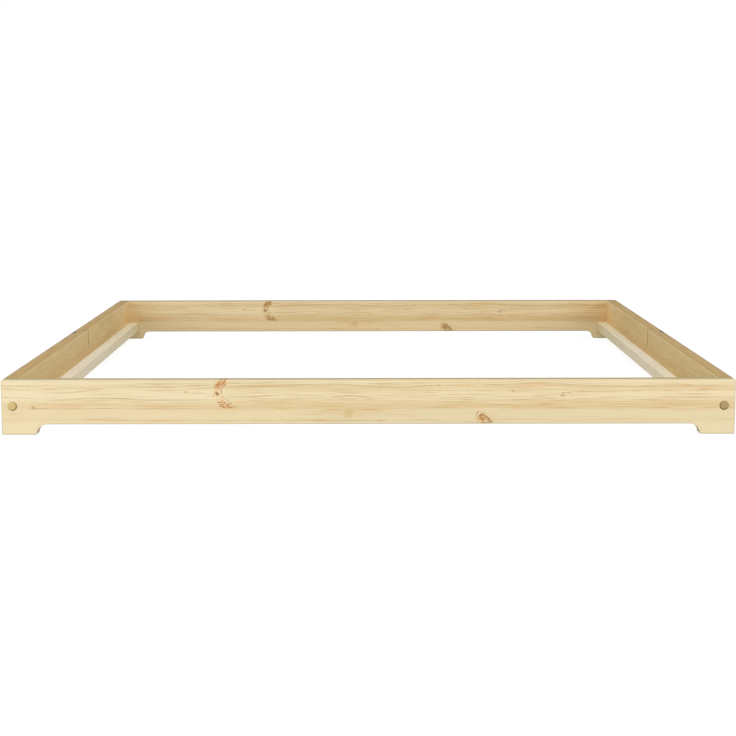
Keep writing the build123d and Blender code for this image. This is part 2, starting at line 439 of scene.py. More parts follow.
# Thin brown lines on the end boards
BOARD_STROKES = stroke_rows(
    (-825, 137.9, 35, 1.1, 0.45),
    (-925, 128, 16, 1.2, 0.4),
    (-882, 127.2, 26, 1.1, 0.75),
    (-928, 119.5, 16, 1.1, 0.6),
    (-895, 118, 26, 1.1, 0.6, -0.04),
    (-820, 119.5, 16, 1.1, 0.75),
    (-760, 122, 44, 1.4, 0.6),
    (-795, 109.6, 34, 1.2, 0.8),
    (-744, 112.8, 24, 1.3, 0.8, 0.08),
    (-934, 98.6, 8, 1.2, 0.6),
    (-890, 96.2, 36, 1, 0.55, -0.02),
    (-808, 98.4, 16, 1, 0.45),
    (-797, 91, 28, 1.1, 0.85),
    (-752, 93.6, 26, 1.1, 0.85, 0.02),
    (-685, 95.4, 44, 1.2, 0.95),
    (-627, 93.9, 30, 1.2, 1, -0.04),
    (-700, 88.8, 28, 0.9, 0.6),
    (-685, 82.2, 50, 0.9, 0.5),
    (-785, 80.4, 18, 0.9, 0.5),
    (-762, 75.8, 24, 0.9, 0.5),
    (-685, 78, 55, 1, 0.6),
    (-840, 68.2, 26, 1.2, 0.95),
    (-768, 68.2, 30, 1.1, 0.7),
    (-682, 68.2, 40, 1.2, 0.8),
    (-665, 44.8, 30, 1, 0.5),
    (-706, 39.7, 24, 1.1, 0.6, -0.02),
    (-640, 37.3, 36, 1.1, 0.6),
    (-535, 137.4, 42, 1, 0.4),
    (-535, 132.3, 60, 1.2, 0.95),
    (-543, 130, 16, 1, 0.6),
    (-447, 134.2, 22, 1, 0.5, 0.02),
    (-605, 128.2, 22, 1.1, 0.75, -0.05),
    (-545, 124.4, 45, 1.2, 0.75, -0.01),
    (-512, 123.4, 14, 1.8, 0.3),
    (-440, 128, 44, 1.1, 0.9, 0.05),
    (-428, 120.6, 30, 1.1, 0.8, 0.05),
    (-440, 107.8, 26, 1.1, 0.75, -0.03),
    (-575, 99, 36, 1, 0.55),
    (-540, 90.6, 58, 1.1, 1),
    (-455, 90.6, 36, 1, 0.85),
    (-587, 85.6, 26, 0.9, 0.55),
    (-490, 80.4, 60, 0.9, 0.5),
    (-572, 76, 28, 1.1, 0.6),
    (-512, 73, 36, 1.3, 0.55),
    (-562, 68, 38, 1.1, 0.85),
    (-482, 67.8, 34, 1, 0.7),
    (-535, 36.4, 66, 1.1, 0.7),
    (-370, 35.6, 56, 1.1, 0.6, 0.01),
    (-345, 134.4, 22, 1.2, 1),
    (-325, 126.4, 32, 1.1, 0.8),
    (-335, 107.4, 28, 1.1, 0.65, 0.01),
    (-328, 98.6, 32, 1.1, 0.75, 0.03),
    (-275, 134.6, 36, 1.2, 0.7, 0.02),
    (-205, 137.2, 44, 1.1, 0.6, 0.02),
    (-265, 126.6, 44, 1.5, 0.85, 0.01),
    (-185, 129.2, 38, 1.3, 0.85, 0.03),
    (-100, 129.6, 64, 1.3, 0.6),
    (-22, 126.6, 38, 1.5, 0.7, -0.05),
    (-288, 109.2, 20, 1, 0.65),
    (-258, 101.4, 20, 1, 0.65),
    (-290, 98.8, 18, 1.1, 0.75),
    (-155, 101.6, 32, 1, 0.6),
    (-200, 103.4, 18, 0.9, 0.5),
    (-180, 96.4, 22, 0.9, 0.55),
    (-125, 96.4, 22, 0.9, 0.55),
    (-270, 93.4, 38, 0.9, 0.5),
    (-205, 91.2, 26, 0.9, 0.55),
    (-288, 88.2, 18, 0.9, 0.65),
    (-222, 85.8, 14, 0.9, 0.5),
    (-258, 82.8, 24, 1, 0.6),
    (-222, 67.8, 18, 1.1, 0.5),
    (-88, 65.2, 28, 1.5, 0.8),
    (0, 65, 24, 1.4, 0.65),
    (-145, 53.4, 38, 1.1, 0.5),
    (-80, 98.6, 18, 1.1, 0.85, 0.03),
    (-48, 100.8, 18, 1.1, 1),
    (-14, 98.6, 18, 1.1, 0.85, -0.04),
    (-103, 90.8, 14, 1, 0.65),
    (-52, 93.4, 34, 1, 0.75),
    (3, 91, 12, 1, 0.6, -0.02),
    (-45, 88.2, 18, 0.9, 0.55),
    (-50, 108.6, 24, 1.1, 0.8),
    (-82, 115.6, 14, 1.2, 0.5),
    (-285, 37.6, 22, 1.2, 0.55),
    (-200, 37.2, 40, 1.1, 0.55),
    (-130, 37.2, 24, 1.4, 0.65),
    (-20, 36.8, 56, 1.1, 0.5),
    (-50, 46.8, 14, 1.1, 0.6),
    (45, 131.6, 42, 1.1, 0.9),
    (128, 134.4, 24, 1, 0.8, 0.02),
    (250, 136.4, 50, 0.9, 0.5),
    (40, 124.4, 34, 1.3, 0.6),
    (140, 126.6, 38, 1, 0.7, 0.01),
    (318, 129.4, 20, 1.3, 0.6),
    (300, 113.4, 28, 1, 0.65),
    (160, 108.4, 18, 1, 0.65),
    (165, 101, 14, 1, 0.65),
    (215, 103.6, 30, 0.9, 0.75),
    (285, 103.4, 38, 0.9, 0.65),
    (125, 98.2, 28, 0.9, 0.5),
    (256, 96.2, 14, 1, 0.55),
    (254, 90.2, 18, 1.1, 0.85),
    (245, 85, 24, 0.9, 0.55),
    (190, 70.4, 46, 1.4, 0.5),
    (32, 36.4, 11, 1.5, 0.8),
    (145, 37, 32, 1, 0.55),
    (80, 52, 40, 1.1, 0.4),
    (340, 129.2, 22, 1.2, 0.6, 0.02),
    (395, 131.6, 26, 1.1, 0.6, 0.05),
    (440, 134, 26, 1.1, 0.55, 0.03),
    (502, 131, 24, 1.1, 0.7, -0.06),
    (542, 128.6, 28, 1.1, 0.7, -0.02),
    (595, 125.4, 30, 1.1, 0.7),
    (385, 113, 26, 1, 0.6),
    (442, 107.2, 16, 0.9, 0.6),
    (553, 110.4, 26, 1.2, 0.8),
    (608, 110.4, 34, 1, 0.7),
    (442, 100.2, 16, 1, 0.75),
    (365, 98, 40, 0.9, 0.65),
    (438, 95.4, 22, 1, 0.65, -0.02),
    (472, 92.6, 14, 1.1, 0.6),
    (400, 90, 32, 1, 0.75),
    (482, 87.4, 14, 0.9, 0.75),
    (502, 90, 8, 0.9, 0.65, 0.25),
    (548, 92.6, 24, 1, 0.7, 0.03),
    (543, 81.8, 14, 0.9, 0.8),
    (458, 79.8, 20, 1.3, 0.8),
    (345, 77.2, 36, 1.1, 1),
    (435, 74.4, 38, 1, 0.55),
    (506, 69, 44, 1.2, 0.8),
    (618, 94.8, 26, 1.1, 0.65),
    (655, 125.6, 32, 1.1, 0.7),
    (715, 125, 24, 1.2, 0.95),
    (820, 128, 14, 1.3, 0.85),
    (876, 125.8, 22, 1.1, 0.75),
    (775, 130.2, 32, 1, 0.5, 0.02),
    (862, 117.4, 12, 1.3, 0.75),
    (690, 113.2, 16, 1.2, 0.6),
    (770, 114.6, 12, 1.2, 0.8),
    (730, 115.2, 20, 1.1, 0.55),
    (850, 114, 48, 1.1, 0.45),
    (835, 104.8, 26, 0.9, 0.65),
    (850, 96.8, 56, 1.1, 0.85),
    (770, 97.2, 22, 0.9, 0.6, 0.02),
    (715, 89.6, 44, 1.2, 0.85),
    (660, 84.8, 32, 0.9, 0.6),
    (665, 79.2, 28, 1, 0.55),
    (830, 79, 76, 0.9, 0.45),
    (755, 69.2, 26, 1.3, 0.85),
    (872, 68.6, 28, 1, 0.6),
)
# Thin pale lines on the end boards
BOARD_GLEAMS = stroke_rows(
    (-912, 130.6, 28, 0.9, 0.8),
    (-900, 123.4, 36, 1.1, 0.8),
    (-700, 98.2, 70, 1, 0.9),
    (-700, 91.8, 50, 0.9, 0.8),
    (-780, 86, 26, 0.9, 0.6),
    (-540, 134.8, 60, 0.9, 0.7),
    (-500, 128.6, 50, 1, 0.9, 0.01),
    (-424, 124.4, 24, 1.2, 0.8, 0.06),
    (-590, 96.8, 40, 1, 0.8),
    (-450, 93.4, 38, 1, 0.9),
    (-430, 102.2, 34, 3, 0.6),
    (-335, 130.6, 28, 1.4, 0.8),
    (-335, 103.4, 28, 1.4, 0.9),
    (-235, 139.4, 70, 1.1, 0.8),
    (-140, 134.2, 48, 1.3, 0.9),
    (-75, 138.6, 44, 1.3, 0.9),
    (-8, 129.8, 20, 1.1, 0.9, -0.04),
    (-45, 105.2, 20, 1.1, 0.9),
    (-50, 96.8, 24, 0.9, 0.8),
    (-285, 103.6, 18, 1.3, 0.9),
    (-288, 96.2, 20, 0.9, 0.6),
    (-175, 99, 24, 0.9, 0.8),
    (-155, 31.6, 24, 1.1, 0.9),
    (-220, 47.6, 110, 1.4, 0.5),
    (140, 137.4, 26, 1.1, 0.9),
    (140, 131, 34, 1.1, 0.8),
    (275, 100.2, 44, 1, 0.9),
    (270, 107.4, 48, 1.2, 0.7),
    (180, 105.8, 50, 1, 0.7),
    (90, 42, 100, 1.2, 0.6),
    (130, 32.6, 38, 1.1, 0.6),
    (360, 100.4, 44, 0.9, 0.8),
    (520, 133.8, 40, 1.1, 0.9, -0.03),
    (680, 136.8, 120, 2, 0.6),
    (860, 136.8, 80, 3.4, 0.8),
    (590, 106, 50, 2, 0.8),
    (690, 106.6, 60, 2.6, 0.7),
    (870, 109.4, 66, 2.6, 0.9),
    (690, 100.6, 60, 1.4, 0.8),
    (850, 100.4, 66, 1.2, 0.8),
    (665, 92.2, 26, 1, 0.9),
    (665, 82.2, 26, 0.9, 0.8),
)
# Orange tints along the grain of the end boards
BOARD_FLUSHES = stroke_rows(
    (-702, 118.2, 24, 2.4, 1.05),
    (-808, 115, 34, 7, 0.16),
    (-828, 129.6, 14, 2, 0.4),
    (-670, 139, 30, 1.2, 0.5),
    (-526, 123.2, 26, 2.2, 0.35),
    (-520, 72, 110, 4.6, 0.5),
    (-780, 76, 80, 8, 0.35),
    (-864, 72, 14, 5, 0.4),
    (-910, 53.6, 18, 4.6, 0.45),
    (-690, 39.4, 40, 2.4, 0.75),
    (-550, 37.6, 40, 2.2, 0.45),
    (-728, 50, 12, 16, 0.18),
    (-336, 83, 10, 3.6, 0.6),
    (-316, 123.6, 50, 2, 0.5),
    (-120, 126.4, 30, 1.6, 0.6),
    (42, 124, 38, 2.4, 0.8),
    (-124, 37, 26, 2.2, 0.9),
    (-110, 59.6, 50, 2, 0.5),
    (0, 64, 44, 2.2, 0.6),
    (-40, 56, 70, 9, 0.35),
    (246, 126, 20, 3, 0.6),
    (430, 130, 40, 4.6, 0.5, 0.03),
    (378, 72, 14, 6, 0.4),
    (480, 82, 60, 9, 0.4),
    (548, 111, 24, 2, 0.5),
    (870, 118.4, 24, 2.4, 0.6),
    (860, 120, 70, 4.5, 0.3),
    (740, 84, 200, 8, 0.3),
    (240, 73, 60, 4, 0.45),
)
# Pin knots on the end boards
BOARD_SPECKS = fleck_rows(
    (32, 125.4, 3.4, 1.6, 0.45),
    (180, 128.5, 3.4, 1.9, 0.6),
    (203, 122.3, 4.6, 1.6, 0.35),
    (151, 110.7, 3.4, 1.6, 0.5),
    (254, 115.4, 3.4, 1.6, 0.45),
    (371, 113.3, 3.4, 2.1, 0.7),
    (304, 126.7, 3.4, 1.5, 0.35),
    (-864, 71.4, 4.6, 4.2, 0.4),
    (-858, 69.8, 3.4, 2, 0.5),
    (-826, 82.2, 4.6, 1.2, 0.45, 8),
    (-835, 79.8, 5.2, 1.2, 0.4, 5),
    (502, 108, 6.4, 1.6, 0.62),
    (516, 108.1, 6.4, 1.6, 0.52),
    (500, 100.6, 6, 2.2, 0.78),
)
# Yellowish and cream patches on the end boards
BOARD_OLIVES = fleck_rows(
    (-469, 111.4, 6, 2.4, 1.1),
    (-52, 52, 14, 6, 0.55),
    (-48, 62, 14, 6, 0.65),
)
BOARD_CREAMS = fleck_rows(
    (-457, 112, 6, 2, 0.8),
    (511, 104.6, 7, 1.6, 0.8),
)
# The branch that crosses the end boards' faces, cut lengthwise, counted from its eye: its tints,
# its slanting lines above the eye and its hooked lines below it
BRANCH_TINTS = fleck_rows(
    (8.5, 28, 13.7, 8.4, 1, 12),
    (19, 30, 9, 5.5, 0.8, 55),
    (3, 17, 7.9, 6.3, 0.8, 40),
    (0, 0, 11.6, 12.6, 0.6),
    (8, -19.5, 8.9, 5.2, 0.7, -10),
    (18, -31, 15.8, 7.4, 1, -15),
    (32, -33, 13.7, 5.8, 0.7, -20),
    (14, -11.5, 3.7, 3.7, 0.8),
    (56, -21.7, 7.9, 2.9, 0.9),
)
BRANCH_REDS = fleck_rows(
    (9, 28, 10.5, 6.1, 0.65, 15),
    (2.5, 18.5, 6.1, 4.2, 0.7, 45),
    (-2, 22.2, 3.1, 2.2, 0.9, 45),
    (19, -33, 8.8, 3.5, 0.5, -10),
)
BRANCH_LINES = fleck_rows(
    (1.6, 25, 6.9, 1.6, 0.8, 55),
    (6.2, 24.6, 2.9, 1.8, 0.95, 55),
    (18.5, 30.8, 6.7, 2.6, 0.95, 57),
    (18.9, 20.8, 4, 2, 0.8, 40),
    (11.9, 21.4, 5.4, 1.4, 0.65, 50),
    (-7.4, 18.5, 4.9, 1.4, 0.65, 48),
    (-3.7, 14.8, 4.1, 1.4, 0.55, 45),
    (3.7, 13.6, 4.3, 1.8, 0.65, 50),
    (14.4, 16, 2.9, 1.2, 0.6, 45),
    (23.4, 25, 4.3, 1.4, 0.55, 50),
    (4.5, -22.6, 5.6, 1.5, 0.95, -8),
    (12.7, -20.1, 4.1, 1.5, 0.9, 60),
    (10.3, -28.9, 6.9, 1.6, 1),
    (18.5, -24, 3.4, 2, 1.05, 60),
    (11.9, -34.1, 8.3, 1.6, 0.75, -5),
    (18.5, -36.5, 4.5, 1.6, 0.65, -30),
    (25.6, -28.7, 4.1, 2.2, 1, 70),
    (30.1, -32.6, 3.7, 1.9, 1, 62),
    (27.1, -36.5, 2.9, 1.6, 0.7, 30),
    (34.9, -36.5, 2.1, 2.4, 1.3),
)
BRANCH_OLIVES = fleck_rows(
    (7.4, 32.8, 4.8, 2.1, 0.9, 50),
    (10.7, 7, 7.6, 2.5, 0.7, 100),
    (-9.9, 4.1, 2.9, 1.6, 0.5),
    (-9.9, -5.3, 2.9, 2, 0.55),
    (14, -7.8, 2.1, 1.4, 0.7, 50),
    (22.6, -12.3, 3.9, 1.6, 0.6, 35),
    (27.3, -18.5, 3.3, 2.1, 0.7, 20),
    (33.7, -24.5, 4.7, 1.8, 0.9, 25),
    (37.4, -28.7, 3.3, 1.4, 0.75),
    (45.2, -30.8, 3.3, 1.2, 0.6, 10),
    (41, -34.9, 4, 1.3, 0.8, -35),
    (45.6, -36.9, 4.3, 1.4, 0.9, 5),
)
BRANCH_EYE = fleck_rows(
    (-0.5, 0.3, 6.1, 3.9, 1.05, -52),
    (1.4, -1.8, 2.8, 2.4, 0.45, -52),
)
# The round knot on the end boards' lower edges, counted from its heart
KNOT_TINTS = fleck_rows(
    (-5.3, 3.6, 18.5, 12.5, 0.8),
    (3.3, 1, 5.5, 1.5, 0.8, -40),
)
KNOT_REDS = fleck_rows(
    (-8.2, 3.6, 6.9, 6.9, 0.95),
    (-6.6, -1.6, 4.8, 2.5, 0.75, -45),
    (9.2, -4.3, 6.9, 3.9, 0.58, -35),
    (-7, -9.5, 3.4, 1.8, 0.9),
)
KNOT_LINES = fleck_rows(
    (-10.3, 8.3, 4.3, 2.6, 0.9, 45),
    (-4.9, 11, 5.2, 1.7, 0.95, -5),
    (3, 6.6, 6.6, 1.8, 1, -32),
    (10.5, 0, 6.6, 2, 0.95, -42),
    (16.8, -5.3, 4.5, 1.8, 0.8, -45),
    (-7, -2, 4, 1.6, 0.8, -48),
    (-3.3, -5.3, 3.7, 1.7, 0.55, -20),
    (0, 0, 3.8, 1.7, 1.15, -50),
    (-19.4, 12.2, 6, 1.8, 0.5, 78),
    (-16.4, 17.7, 4.4, 1.8, 0.55, 35),
    (-20, 3, 4.5, 1.2, 0.4, -85),
    (-15.8, -6.6, 3.2, 1.5, 0.65, -45),
    (-15.1, 0, 1.9, 2.3, 0.7, 90),
    (-1.3, -10.3, 3.2, 2, 0.95),
    (3.9, -11.2, 2.9, 1.6, 0.75),
    (10.5, -9.5, 2.7, 2, 1),
    (17.5, -8.8, 4.7, 1.6, 0.6),
    (-6.6, 16.8, 5, 1.3, 0.7, -5),
    (1.3, 14.5, 2.6, 1.3, 0.5, -30),
    (15.8, 3.6, 2.2, 1.7, 0.45),
)
# How warm a timber's face is, and how clearly its years show, at each height above the floor
BOARD_TONES = [
    (0.000, 0.00),
    (0.026, 0.08),
    (0.033, 0.12),
    (0.0373, 0.60),
    (0.0415, 0.26),
    (0.052, 0.30),
    (0.0605, 0.30),
    (0.0645, 0.50),
    (0.0680, 1.00),
    (0.0760, 1.00),
    (0.0837, 0.85),
    (0.0890, 0.58),
    (0.0950, 0.26),
    (0.1070, 0.12),
    (0.1120, 0.42),
    (0.1190, 0.60),
    (0.1260, 1.00),
    (0.1310, 0.45),
    (0.1360, 0.15),
    (0.1420, 0.10),
]
BOARD_CLARITY = [
    (0.000, 0.15),
    (0.030, 0.30),
    (0.037, 0.80),
    (0.044, 0.20),
    (0.060, 0.25),
    (0.070, 0.50),
    (0.086, 0.60),
    (0.100, 1.00),
    (0.142, 0.90),
]
RAIL_BENDS = [
    Bend(-0.420, 0.0950, 0.180, 0.022, 0.0100),
    Bend(0.250, 0.0700, 0.220, 0.020, -0.0080),
    Bend(0.700, 0.1050, 0.160, 0.018, 0.0070),
]
RAIL_PARTS = [
    Part(-0.0120, 0.1390, 0.080, 0.0140, 0.80),
    Part(-0.7000, 0.0960, 0.070, 0.0120, 0.60),
]
RAIL_KNOTS = [Knot(-0.7000, 0.0960, 0.0150, 0.0070, 0.3, 0.25)]
# The thin dark trace of a spike knot, down each side rail's inner face and across its top
RAIL_STROKES = stroke_rows(
    (80, 124, 9, 22, 1.1),
    (78, 100, 12, 14, 1.2),
    (20, 98, 12, 12, 0.8),
    (160, 84, 11, 4, 0.6),
    (-600, 74, 240, 1.4, 0.6),
    (500, 74, 260, 1.4, 0.6),
)
RAIL_GLEAMS = stroke_rows(
    (116, 119, 14, 28, 0.9),
    (50, 104, 9, 14, 0.7),
    # A painted highlight just under the top edge, towards the front end
    (-640, 140.5, 240, 1.6, 0.3),
)
RAIL_FLUSHES = stroke_rows(
    (0, 68.5, 900, 5.5, 0.2),
    (930, 92, 70, 16, 0.55),
    (300, 78, 200, 3, 0.5),
)
# Marks on the rails' top faces, along them and in from their inner edges
RAIL_TOP_LINES = fleck_rows(
    (72, 11, 20, 8, 1.1, -34),
    (38, 27, 24, 7, 0.9, -40),
    (-420, 21, 120, 3, 0.6, 3),
    (-760, 10, 150, 2.4, 0.6),
    (-340, 7.5, 190, 2.4, 0.55),
    (420, 14, 150, 2.4, 0.4),
    (940, 24, 100, 14, 0.4),
)
RAIL_TOP_SPOT = fleck_rows((6, 36.5, 28, 7.5, 2.2))
RAIL_TONES = [
    (0.027, 0.40),
    (0.060, 0.20),
    (0.066, 0.30),
    (0.076, 0.95),
    (0.088, 0.75),
    (0.104, 0.35),
    (0.122, 0.60),
    (0.134, 0.20),
    (0.142, 0.50),
]
RAIL_CLARITY = [(0.027, 0.8), (0.142, 0.8)]
BATTEN_BENDS = [
    Bend(-0.300, 0.0500, 0.200, 0.014, 0.0040),
    Bend(0.500, 0.0440, 0.240, 0.014, -0.0040),
]
BATTEN_PARTS = [Part(-0.0800, 0.0560, 0.060, 0.0080, 0.70)]
BATTEN_KNOTS = [Knot(0.5600, 0.0400, 0.0070, 0.0035, -0.2, 0.3)]
BATTEN_TONES = [(0.032, 0.30), (0.045, 0.10), (0.062, 0.25)]
BATTEN_CLARITY = [(0.032, 0.8), (0.062, 0.8)]

# The rounded edges' tone: paler from wear and from painted highlight
ARRIS_WEAR_AND_HIGHLIGHT = linear(228, 207, 162)
END_GRAIN = linear(196, 160, 108)
# Stains, painted shade and painted light: the share of its red, green and blue that the wood keeps
# Painted shade on the top faces of the front board, the rear board and the rails
BOARD_TOP_SHADE = (0.54, 0.505, 0.35)
REAR_TOP_SHADE = (0.36, 0.325, 0.185)
RAIL_TOP_SHADE = (0.79, 0.71, 0.51)
# Painted shade on the battens' sides
BATTEN_SIDE_SHADE = (0.81, 0.77, 0.68)
# Painted shade in the rear board's corners
CORNER_SHADE = (0.86, 0.74, 0.56)
# Darker and yellower low on the rear board
REAR_LOW_TINT = (0.91, 0.94, 0.85)
# Painted shade on the front and rear boards' undersides
UNDER_SHADE = (0.82, 0.87, 0.98)
REAR_UNDER_SHADE = (0.60, 0.63, 0.72)
# Painted shade on the quarter-rounds beside the feet
SWEEP_SHADE = (0.62, 0.63, 0.60)
# Painted shade along the rails' outer top edges
OUTER_EDGE_SHADE = (0.50, 0.55, 0.56)
# Faint tints, low on the front board and at its ends
LOW_STAIN = (0.955, 0.965, 0.965)
EDGE_STAIN = (0.93, 0.95, 1.10)
# Painted shade at the battens' far ends
BATTEN_FAR_SHADE = (0.89, 0.87, 0.70)
# Painted light at the battens' near ends
BATTEN_NEAR_LIGHT = (1.05, 1.05, 1.03)
# Painted light at the rails' far ends
RAIL_FAR_LIGHT = (1.24, 1.26, 1.44)
# Marks on the rails' top faces
TOP_LINE_STAIN = (0.72, 0.66, 0.52)
TOP_SPOT_STAIN = (0.22, 0.16, 0.10)
# The rear board's marks, darker with painted shade
REAR_MARKS_SHADE = (0.76, 0.77, 0.64)
# How much paler the end boards' left ends are, and how much fainter their years are there
LEFT_PALLOR = -0.36
LEFT_CALM = 0.70
# How strongly the painted shade lies in the rear board's corners and at the battens' far ends
CORNER_SHADE_SHARE = 0.40
FAR_SHARE = 0.80

# Where the timbers' looks change, in metres: where each change begins and where it is whole
PALE_ALONG, PALE_UP = (-0.28, -0.50), (0.060, 0.070)
CALM_ALONG = (-0.66, -0.80)
LOW_ALONG, LOW_UP = (-0.25, -0.10), (0.068, 0.058)
CORNER_ALONG, CORNER_UP = (0.72, 0.90), (0.030, 0.075)
FRONT_TOP_DEPTH, REAR_TOP_DEPTH = (0.004, 0.020), (0.001, 0.008)
FRONT_UNDER, REAR_UNDER = (0.004, 0.001), (0.005, 0.001)
SWEEP_FACE, SWEEP_DEPTH = (-0.001, 0.001), (0.0015, 0.0045)
BOARD_EDGE = (0.0045, 0.0015)
REAR_FOOT_UP = (0.032, 0.024)
RAIL_FAR = (0.50, 0.95)
TOP_SPOT_UP = (0.134, 0.140)
OUTER_DEPTH, OUTER_UP = (0.0340, 0.0365), (0.136, 0.141)
BATTEN_SIDE_DEPTH = (0.0012, 0.0002)
BATTEN_FAR, BATTEN_NEAR = (0.0, 1.0), (0.2, -0.8)
END_FACE = (0.0030, 0.0006)
WORN_AND_LIT_EDGE = (0.0055, 0.0008)
TOP_FACE_DROP = (0.0006, 0.0001)

# How far a blotch of each of pine's noises reaches along the timber, up it and into it
DRIFT_REACH = (0.60, 0.05, 0.05)
SWAY_REACH = (0.10, 0.012, 0.012)
FIBRE_REACH = (0.030, 0.0008, 0.0008)
STREAK_REACH = (0.120, 0.0050, 0.0050)
CLOUD_REACH = (0.120, 0.024, 0.024)
PORE_REACH = (0.010, 0.0012, 0.0012)
THREAD_REACH = (0.150, 0.0018, 0.0046)
RAGGED_REACH = (0.006, 0.004, 0.020)
KNOT_REACH = (0.012, 0.006, 0.02)
# How far those noises and the years' own unevenness push the grain, in metres
DRIFT_PUSH = 0.006
SWAY_PUSH = 0.0024
STROKE_SWAY = 0.0010
RAGGED_ALONG, RAGGED_UP = 0.004, 0.003
YEAR_PUSH = 0.014
# How many blotches a metre of the years' unevenness has
YEAR_BLOTCHES = 60.0
# How high fibre stands and how deep late wood and knots' lines lie, in metres
FIBRE_HEIGHT = 0.00012
LATE_DEPTH = 0.00006
KNOT_DEPTH = 0.00025

# Each side's plugs: pale and dark wood, and a rim colour that is partly a dark edge and partly
# painted shadow
PLUG_TONES = {
    "left": (linear(217, 194, 134), linear(177, 148, 87), linear(120, 94, 44)),
    "right": (linear(182, 155, 105), linear(137, 109, 64), linear(96, 70, 34)),
}
# How far to the right and up each side's plugs' pale middle lies from their own; the painted
# shadow in the rim falls on the other side
PLUG_SHADES = {"left": (-0.0013, 0.0013), "right": (0.0007, 0.0015)}
PLUG_RING = 0.0023
DOWEL_PALE = linear(214, 176, 132)
DOWEL_DARK = linear(190, 146, 102)
RAY_BROWN = linear(146, 102, 66)
ZINC_TONES = (linear(206, 210, 214), linear(164, 168, 172), linear(222, 226, 236))
YELLOW_ZINC_TONES = (linear(222, 194, 120), linear(184, 148, 84), linear(214, 190, 164))

# The middles of the branch scar and the round knot, and the height under which the branch ends
BRANCH_AT = (-388.5, 106.8)
BRANCH_FOOT = 67.6
KNOT_AT = (299.0, 40.7)
BOARD_LAYERS = [
    Layer("resin", 0, 0, 0, RESIN_YELLOW, BOARD_OLIVES),
    Layer("cream", 0, 0, 0, BOARD_STOCK.early, BOARD_CREAMS),
    Layer("specks", 0, 0, 0, SPECK_BROWN, BOARD_SPECKS),
    Layer("branch_tints", *BRANCH_AT, BRANCH_FOOT, KNOT_PEACH, BRANCH_TINTS),
    Layer("branch_reds", *BRANCH_AT, BRANCH_FOOT, KNOT_RED, BRANCH_REDS),
    Layer("branch_lines", *BRANCH_AT, BRANCH_FOOT, FLECK_BROWN, BRANCH_LINES),
    Layer("branch_olives", *BRANCH_AT, BRANCH_FOOT, FLECK_OLIVE, BRANCH_OLIVES),
    Layer("branch_eye", *BRANCH_AT, BRANCH_FOOT, EYE_BROWN, BRANCH_EYE),
    Layer("knot_tints", *KNOT_AT, 0, KNOT_PEACH, KNOT_TINTS),
    Layer("knot_reds", *KNOT_AT, 0, KNOT_RED, KNOT_REDS),
    Layer("knot_lines", *KNOT_AT, 0, FLECK_BROWN, KNOT_LINES),
]


def bent_grain(recipe, place, up, bends):
    """Height above the floor as the grain counts it: each bend lifts the lines near it by its
    lift times a bell curve."""
    risen = up
    for bend in bends:
        near = recipe.boxed(place, (bend.along, bend.up, 0), reach=(bend.long, bend.high, 0.2))
        risen = risen - recipe.bell(near) * bend.lift
    return risen


def parted_grain(recipe, place, risen, parts):
    """The same height, with the lines near each part pushed away from its middle, by how far to
    the side they lie times a bell curve."""
    for part in parts:
        near = recipe.boxed(place, (part.along, part.up, 0), reach=(part.long, part.high, 0.2))
        side = recipe.axes(near)[1]
        risen = risen - side * recipe.bell(near) * (part.high * part.push)
    return risen


def year_rings(recipe, risen, depth, stock):
    """Growth rings, as pipes round a pith that runs along the timber. Returns how late in its
    year the wood at each place grew, how fresh it was, and how strongly that year shows."""
    pith_up, pith_depth = stock.pith
    rise = risen - pith_up
    sink = depth - pith_depth
    distance = (rise * rise + sink * sink).root()
    uneven = recipe.noise_along(distance * YEAR_BLOTCHES, stock.seed)
    count = (distance + (uneven - 0.5) * YEAR_PUSH) / stock.ring
    season = count.part()
    late = season.fade(0.42, 0.92) * season.fade(1.0, 0.95)
    fresh = season.fade(0.35, 0.02)
    year = recipe.chance(count.whole() + stock.seed)
    return late, fresh, year


def strokes_share(strokes, along, up):
    """How much all the strokes together cover each place: the sum of their bell curves."""
    working = along.recipe
    covered = 0.0
    for stroke in strokes:
        along, up = working.in_turn(covered, along, up)
        x = along.counted(stroke.along, stroke.long)
        y = up.counted(stroke.up, stroke.high)
        if stroke.lean:
            y = working.math("MULTIPLY_ADD", x, -stroke.lean * stroke.long / stroke.high, y)
        covered = working.math("MULTIPLY_ADD", working.hump(x, y), stroke.share, covered)
    return covered


def flecks_share(layer, along, up):
    """How much a layer's flecks together cover each place on a face: the sum of bell curves,
    each along its own turned axes, with their thin feet cut away."""
    working = along.recipe
    covered = 0.0
    for fleck in layer.flecks:
        along, up = working.in_turn(covered, along, up)
        way = (cos(radians(fleck.turn)), sin(radians(fleck.turn)))
        middle = (layer.along + fleck.along, layer.up + fleck.up)
        x = working.across((along, up), middle, way, fleck.long)
        y = working.across((along, up), middle, (-way[1], way[0]), fleck.high)
        covered = working.math("MULTIPLY_ADD", working.hump(x, y), fleck.share, covered)
    if layer.foot:
        foot = layer.foot * MILLIMETRE
        covered = covered * up.fade(foot - MILLIMETRE, foot + MILLIMETRE)
    return covered.crisp()


